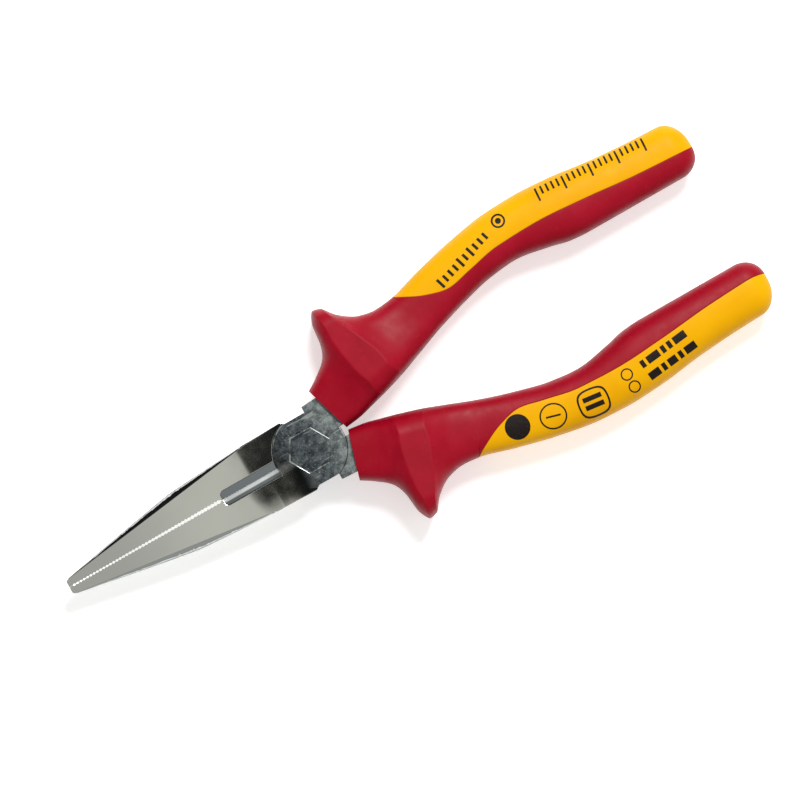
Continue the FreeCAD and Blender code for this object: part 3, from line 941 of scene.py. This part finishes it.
def polish_height(g, x, own, across, in_slot):
    """What polishing does to the flats, in metres.

    It rounds the shoulder into the taper, further along the plate's own jaw, crowns that jaw
    across, and flattens the cutting bevels.
    """
    short_blend = g.product(g.spread(x, taper_start, 17.5 * MM), shoulder_blend)
    long_blend = g.product(g.spread(x, taper_start, 20.8 * MM), 1.45 * shoulder_blend)
    on_own = g.spread(own, -1.5 * MM, 1.5 * MM)
    blend = g.math("MULTIPLY_ADD", on_own, g.math("SUBTRACT", long_blend, short_blend), short_blend)
    over = g.math("MAXIMUM", g.math("SUBTRACT", own, 2.8 * MM), 0.0)
    crown = g.product(over, over, -jaw_crown, g.spread(x, 6.0 * MM, 14.0 * MM))
    flatten = g.product(across, bevel_flattening, in_slot)
    return g.math("ADD", g.math("ADD", blend, crown), flatten)


def steel_material():
    """Forging: mirror-polished jaws, satin cutting bevels and a ground, duller joint."""
    material, shader, g = new_material("jaw_steel")
    x, y, z = g.axes()
    own = own_side(g, y, z)
    across = g.math("ABSOLUTE", y)
    radius = g.math("SQRT", g.math("ADD", g.product(x, x), g.product(y, y)))
    on_plate = g.spread(radius, plate_edge + 0.06 * MM, plate_edge)
    by_own_jaw = g.product(g.spread(x, 0.0, 6.2 * MM), g.spread(own, -1.0 * MM, 3.0 * MM))
    on_plate = g.product(on_plate, g.math("SUBTRACT", 1.0, by_own_jaw))
    ground = g.math("MAXIMUM", on_plate, g.spread(x, ground_front + 0.6 * MM, ground_front))
    in_slot = slot_mask(g, x, z, across)

    bright = g.mix(in_slot, polished_colour(g, x), cutting_bevel_colour(g, own, across))
    grey, matt = ground_steel(g, x)
    polish = g.spread(g.noise(240.0, 3.0), 0.3, 0.7, 0.05, 0.09)
    polish = g.math("ADD", polish, g.product(in_slot, 0.10))
    rough = g.math("MULTIPLY_ADD", ground, g.math("SUBTRACT", matt, polish), polish)
    metal(g, shader, g.mix(ground, bright, grey), rough)

    pits = g.product(g.noise(900.0, 4.0, 0.6), ground, 0.04 * MM)
    height = g.math("ADD", polish_height(g, x, own, across, in_slot), pits)
    worn = g.bump(height, 1.0, 1.0, rounded_edges(g, steel_edge_radius))
    g.link(worn, shader.inputs["Normal"])
    return material


def rivet_material():
    """Rivet head, ground flush with the joint: darker and blotchier than the plate."""
    material, shader, g = new_material("rivet_steel")
    base, rough = ground_steel(g, g.axes()[0])
    stain = g.spread(g.noise(700.0, 4.0), 0.35, 0.65, 0.35, 0.0)
    metal(g, shader, g.mix(stain, base, colour(48, 52, 56)), rough)
    g.link(g.bump(g.noise(1000.0, 4.0, 0.6), 0.5, 0.08 * MM), shader.inputs["Normal"])
    return material


# ---- camera, straight above ----

view_right = Vector((-0.8678, 0.4970, 0.0))
view_centre = Vector((-0.0272, 0.0004, half * MM))
view_width = 0.2117
camera_lens = 400.0

# ---- table, light tent and lamp ----

table_half_size = 12.0
table_gap = 0.05 * MM          # between the table and the lowest point of the tool
table_glow = 0.50              # the table is lit softly from below as well
tent_strength = 0.58
tent_tint = (1.0, 1.0, 0.97, 1.0)
dark_strength = 0.02           # of the opening and the skirt
front_wall = 0.45              # how bright the wall ahead of the jaws is, as a share
opening_direction = (0.0, -0.02, 1.0)
opening_angle = 2.1            # the camera's dark opening, and where its soft edge ends
opening_soft_angle = 5.6
key_direction = (-0.36, -0.38, 0.86)
key_distance = 1.0
key_size = 0.35
key_power = 11.0


def cosine(degrees):
    return math.cos(math.radians(degrees))


def add_to_scene(name, data):
    made = bpy.data.objects.new(name, data)
    bpy.context.scene.collection.objects.link(made)
    return made


def make_camera():
    data = bpy.data.cameras.new("camera")
    data.lens = camera_lens
    camera = add_to_scene("camera", data)
    distance = view_width * data.lens / data.sensor_width
    camera.location = view_centre + Vector((0, 0, distance))
    camera.rotation_euler = (0.0, 0.0, math.atan2(view_right.y, view_right.x))
    data.clip_start = 0.01
    data.clip_end = 100.0
    bpy.context.scene.camera = camera


def make_floor():
    size = table_half_size
    low = cad_box[0].z - table_gap
    corners = [(-size, -size, low), (size, -size, low), (size, size, low), (-size, size, low)]
    mesh = bpy.data.meshes.new("table_top")
    mesh.from_pydata(corners, [], [(0, 1, 2, 3)])
    floor = add_to_scene("table_top", mesh)
    material, shader, g = new_material("pale_table")
    base = g.mix(g.noise(8.0, 3.0), colour(240, 240, 240), colour(246, 246, 246))
    g.link(base, shader.inputs["Base Color"])
    shader.inputs["Roughness"].default_value = 0.9
    shader.inputs["Specular IOR Level"].default_value = 0.0
    shader.inputs["Emission Color"].default_value = (1.0, 1.0, 1.0, 1.0)
    shader.inputs["Emission Strength"].default_value = table_glow
    mesh.materials.append(material)


def make_world():
    """Light tent: white all round, with the camera's dark opening straight overhead."""
    world = bpy.data.worlds.new("light_tent")
    bpy.context.scene.world = world
    world.use_nodes = True
    world.node_tree.nodes.clear()
    g = Graph(world.node_tree, "Generated")
    out = g.node("ShaderNodeOutputWorld")
    background = g.node("ShaderNodeBackground")
    g.link(background.outputs[0], out.inputs[0])
    x, y, z = g.axes()

    overhead = g.node("ShaderNodeVectorMath", operation="DOT_PRODUCT")
    g.link(g.place, overhead.inputs[0])
    overhead.inputs[1].default_value = Vector(opening_direction).normalized()
    soft_edge = cosine(opening_soft_angle)
    opening = g.spread(overhead.outputs["Value"], soft_edge, cosine(opening_angle), 1.0, 0.0)
    front = g.spread(x, 0.05, 0.75, 1.0, front_wall)

    # A low dark skirt, on the -Y side only
    over_it = g.math("MAXIMUM", g.spread(z, 0.36, 0.52), g.spread(y, -0.45, -0.10))
    past_ends = g.math("MAXIMUM", g.spread(x, 0.35, 0.60), g.spread(x, -0.35, -0.15, 1.0, 0.0))
    light = g.product(opening, front, g.math("MAXIMUM", over_it, past_ends))
    g.link(g.spread(light, 0.0, 1.0, dark_strength, tent_strength), background.inputs["Strength"])
    background.inputs["Color"].default_value = tent_tint


def make_key_light():
    data = bpy.data.lights.new("key", "AREA")
    data.shape = "DISK"
    data.size = key_size
    data.energy = key_power
    light = add_to_scene("key", data)
    way = Vector(key_direction).normalized()
    light.location = view_centre + way * key_distance
    light.rotation_mode = "QUATERNION"
    light.rotation_quaternion = way.to_track_quat("Z", "Y")


# ---- the object ----


def finish_steel():
    steel = steel_material()
    finishes = {
        "half_a_forging": steel,
        "half_b_forging": steel,
        "pivot_rivet": rivet_material(),
    }
    for node, material in finishes.items():
        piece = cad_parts[node]
        piece.data.materials.clear()
        piece.data.materials.append(material)


def make_handles():
    """Both handles' pieces, by the CAD node that each replaces."""
    red = red_material()
    yellow = yellow_material()
    pieces = {}
    for side, other_half, shift in (("a", False, edge_shift_a), ("b", True, edge_shift_b)):
        outer, inner, core, tube = handle_rows(shift)
        body = "half_" + side
        grip = "grip_" + side
        sleeve = "sleeve_" + side
        pieces[grip] = red_grip("red_" + grip, outer, inner, other_half, body, grip, red)
        pieces[sleeve] = yellow_sleeve(
            "yellow_" + sleeve, core, tube, other_half, body, sleeve, yellow)
    for piece in pieces.values():
        tidy_mesh(piece)
    return pieces


def make_marks(pieces):
    ink = ink_material()
    raised_marks("marks_a", marks_on_a(), pieces["sleeve_a"], "half_a", ink, ink_height)
    raised_marks("marks_b", marks_on_b(), pieces["sleeve_b"], "half_b", ink, ink_height)
    grip = pieces["grip_a"]
    red = grip.data.materials[0]
    raised_marks("guard_pips", crest_pips(), grip, "half_a", red, pip_height)


bpy.context.scene.view_settings.view_transform = "Standard"
make_camera()
make_floor()
make_world()
make_key_light()
finish_steel()
make_marks(make_handles())
